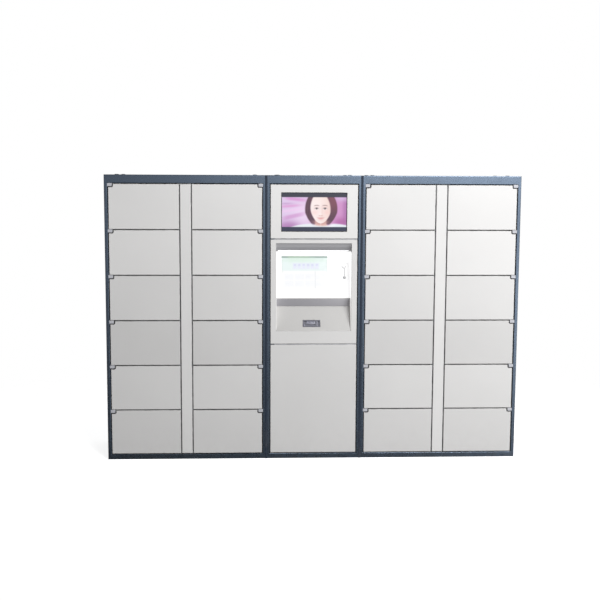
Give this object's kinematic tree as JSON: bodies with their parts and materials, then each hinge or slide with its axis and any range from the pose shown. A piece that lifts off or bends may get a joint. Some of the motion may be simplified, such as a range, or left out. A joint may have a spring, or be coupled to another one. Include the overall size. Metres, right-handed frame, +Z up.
{
  "type": "parcel locker",
  "caption": "Parcel locker: hinged compartment doors in framed steel banks either side of a control cabinet with a display, a recessed touch screen console and a service door.",
  "frame": {"origin": "on the floor, under the middle of the row of cabinets", "axes": "+X to the right as a user faces it, +Y from the doors to the back, +Z up; the doors face -Y"},
  "size_m": [2.6, 0.5, 1.8],
  "materials": {
    "frame_paint": "powder coat, satin slate blue-grey",
    "door_paint": "powder coat, satin warm grey-white",
    "inner_paint": "powder coat, pale grey, satin",
    "lock_steel": "zinc plated, dull",
    "console_white": "powder coat, white, satin",
    "lamp_grey": "powder coat, mid grey, satin",
    "screen_plastic": "black gloss glass face in a matt frame",
    "reader_plastic": "moulded, fine texture",
    "printer_plastic": "moulded, fine texture",
    "case_black": "matt black powder coat",
    "case_steel": "zinc plated, dull",
    "inlet_plastic": "moulded black"
  },
  "bodies": {
    "cabinet": {"left_body_sheet": "frame_paint", "left_base_panel": "frame_paint", "left_top_panel": "frame_paint", "left_front_frame": "frame_paint", "left_post": "inner_paint", "left_lock_bank": "lock_steel", "left_cover_strip": "door_paint", "left_outer_shelf_rack": "inner_paint", "left_inner_shelf_rack": "inner_paint", "right_body_sheet": "frame_paint", "right_base_panel": "frame_paint", "right_top_panel": "frame_paint", "right_front_frame": "frame_paint", "right_post": "inner_paint", "right_lock_bank": "lock_steel", "right_cover_strip": "door_paint", "right_outer_shelf_rack": "inner_paint", "right_inner_shelf_rack": "inner_paint", "control_body_sheet": "frame_paint", "control_base_panel": "frame_paint", "control_top_panel": "frame_paint", "control_front_frame": "frame_paint", "computer": "case_black", "lock_controller": "case_steel", "power_supply": "case_steel", "power_inlet": "inlet_plastic"},
    "parcel_door_01": {"door_01": "door_paint"},
    "parcel_door_02": {"door_02": "door_paint"},
    "parcel_door_03": {"door_03": "door_paint"},
    "parcel_door_04": {"door_04": "door_paint"},
    "parcel_door_05": {"door_05": "door_paint"},
    "parcel_door_06": {"door_06": "door_paint"},
    "parcel_door_07": {"door_07": "door_paint"},
    "parcel_door_08": {"door_08": "door_paint"},
    "parcel_door_09": {"door_09": "door_paint"},
    "parcel_door_10": {"door_10": "door_paint"},
    "parcel_door_11": {"door_11": "door_paint"},
    "parcel_door_12": {"door_12": "door_paint"},
    "parcel_door_13": {"door_13": "door_paint"},
    "parcel_door_14": {"door_14": "door_paint"},
    "parcel_door_15": {"door_15": "door_paint"},
    "parcel_door_16": {"door_16": "door_paint"},
    "parcel_door_17": {"door_17": "door_paint"},
    "parcel_door_18": {"door_18": "door_paint"},
    "parcel_door_19": {"door_19": "door_paint"},
    "parcel_door_20": {"door_20": "door_paint"},
    "parcel_door_21": {"door_21": "door_paint"},
    "parcel_door_22": {"door_22": "door_paint"},
    "parcel_door_23": {"door_23": "door_paint"},
    "parcel_door_24": {"door_24": "door_paint"},
    "display_panel": {"display_door": "door_paint", "display_monitor": "screen_plastic"},
    "console_panel": {"console_door": "door_paint", "console_tray": "console_white", "console_lamp": "lamp_grey", "touch_screen": "screen_plastic", "card_reader": "reader_plastic", "receipt_printer": "printer_plastic"},
    "service_panel": {"service_door": "door_paint"}
  },
  "joints": [
    {"name": "door_01_hinge", "type": "hinge", "parent": "cabinet", "child": "parcel_door_01", "pos_m": [-1.265, -0.244, 1.603], "axis": [0, 0, -1], "range_deg": [0, 90]},
    {"name": "door_02_hinge", "type": "hinge", "parent": "cabinet", "child": "parcel_door_02", "pos_m": [-1.265, -0.244, 1.318], "axis": [0, 0, -1], "range_deg": [0, 90]},
    {"name": "door_03_hinge", "type": "hinge", "parent": "cabinet", "child": "parcel_door_03", "pos_m": [-1.265, -0.244, 1.033], "axis": [0, 0, -1], "range_deg": [0, 90]},
    {"name": "door_04_hinge", "type": "hinge", "parent": "cabinet", "child": "parcel_door_04", "pos_m": [-1.265, -0.244, 0.748], "axis": [0, 0, -1], "range_deg": [0, 90]},
    {"name": "door_05_hinge", "type": "hinge", "parent": "cabinet", "child": "parcel_door_05", "pos_m": [-1.265, -0.244, 0.463], "axis": [0, 0, -1], "range_deg": [0, 90]},
    {"name": "door_06_hinge", "type": "hinge", "parent": "cabinet", "child": "parcel_door_06", "pos_m": [-1.265, -0.244, 0.178], "axis": [0, 0, -1], "range_deg": [0, 90]},
    {"name": "door_07_hinge", "type": "hinge", "parent": "cabinet", "child": "parcel_door_07", "pos_m": [-0.335, -0.244, 1.603], "axis": [0, 0, 1], "range_deg": [0, 90]},
    {"name": "door_08_hinge", "type": "hinge", "parent": "cabinet", "child": "parcel_door_08", "pos_m": [-0.335, -0.244, 1.318], "axis": [0, 0, 1], "range_deg": [0, 90]},
    {"name": "door_09_hinge", "type": "hinge", "parent": "cabinet", "child": "parcel_door_09", "pos_m": [-0.335, -0.244, 1.033], "axis": [0, 0, 1], "range_deg": [0, 90]},
    {"name": "door_10_hinge", "type": "hinge", "parent": "cabinet", "child": "parcel_door_10", "pos_m": [-0.335, -0.244, 0.748], "axis": [0, 0, 1], "range_deg": [0, 90]},
    {"name": "door_11_hinge", "type": "hinge", "parent": "cabinet", "child": "parcel_door_11", "pos_m": [-0.335, -0.244, 0.463], "axis": [0, 0, 1], "range_deg": [0, 90]},
    {"name": "door_12_hinge", "type": "hinge", "parent": "cabinet", "child": "parcel_door_12", "pos_m": [-0.335, -0.244, 0.178], "axis": [0, 0, 1], "range_deg": [0, 90]},
    {"name": "door_13_hinge", "type": "hinge", "parent": "cabinet", "child": "parcel_door_13", "pos_m": [0.335, -0.244, 1.603], "axis": [0, 0, -1], "range_deg": [0, 90]},
    {"name": "door_14_hinge", "type": "hinge", "parent": "cabinet", "child": "parcel_door_14", "pos_m": [0.335, -0.244, 1.318], "axis": [0, 0, -1], "range_deg": [0, 90]},
    {"name": "door_15_hinge", "type": "hinge", "parent": "cabinet", "child": "parcel_door_15", "pos_m": [0.335, -0.244, 1.033], "axis": [0, 0, -1], "range_deg": [0, 90]},
    {"name": "door_16_hinge", "type": "hinge", "parent": "cabinet", "child": "parcel_door_16", "pos_m": [0.335, -0.244, 0.748], "axis": [0, 0, -1], "range_deg": [0, 90]},
    {"name": "door_17_hinge", "type": "hinge", "parent": "cabinet", "child": "parcel_door_17", "pos_m": [0.335, -0.244, 0.463], "axis": [0, 0, -1], "range_deg": [0, 90]},
    {"name": "door_18_hinge", "type": "hinge", "parent": "cabinet", "child": "parcel_door_18", "pos_m": [0.335, -0.244, 0.178], "axis": [0, 0, -1], "range_deg": [0, 90]},
    {"name": "door_19_hinge", "type": "hinge", "parent": "cabinet", "child": "parcel_door_19", "pos_m": [1.265, -0.244, 1.603], "axis": [0, 0, 1], "range_deg": [0, 90]},
    {"name": "door_20_hinge", "type": "hinge", "parent": "cabinet", "child": "parcel_door_20", "pos_m": [1.265, -0.244, 1.318], "axis": [0, 0, 1], "range_deg": [0, 90]},
    {"name": "door_21_hinge", "type": "hinge", "parent": "cabinet", "child": "parcel_door_21", "pos_m": [1.265, -0.244, 1.033], "axis": [0, 0, 1], "range_deg": [0, 90]},
    {"name": "door_22_hinge", "type": "hinge", "parent": "cabinet", "child": "parcel_door_22", "pos_m": [1.265, -0.244, 0.748], "axis": [0, 0, 1], "range_deg": [0, 90]},
    {"name": "door_23_hinge", "type": "hinge", "parent": "cabinet", "child": "parcel_door_23", "pos_m": [1.265, -0.244, 0.463], "axis": [0, 0, 1], "range_deg": [0, 90]},
    {"name": "door_24_hinge", "type": "hinge", "parent": "cabinet", "child": "parcel_door_24", "pos_m": [1.265, -0.244, 0.178], "axis": [0, 0, 1], "range_deg": [0, 90]},
    {"name": "display_door_hinge", "type": "hinge", "parent": "cabinet", "child": "display_panel", "pos_m": [-0.263, -0.244, 1.5745], "axis": [0, 0, -1], "range_deg": [0, 90]},
    {"name": "console_door_hinge", "type": "hinge", "parent": "cabinet", "child": "console_panel", "pos_m": [-0.263, -0.244, 1.071], "axis": [0, 0, -1], "range_deg": [0, 90]},
    {"name": "service_door_hinge", "type": "hinge", "parent": "cabinet", "child": "service_panel", "pos_m": [-0.263, -0.244, 0.387], "axis": [0, 0, -1], "range_deg": [0, 90]}
  ]
}
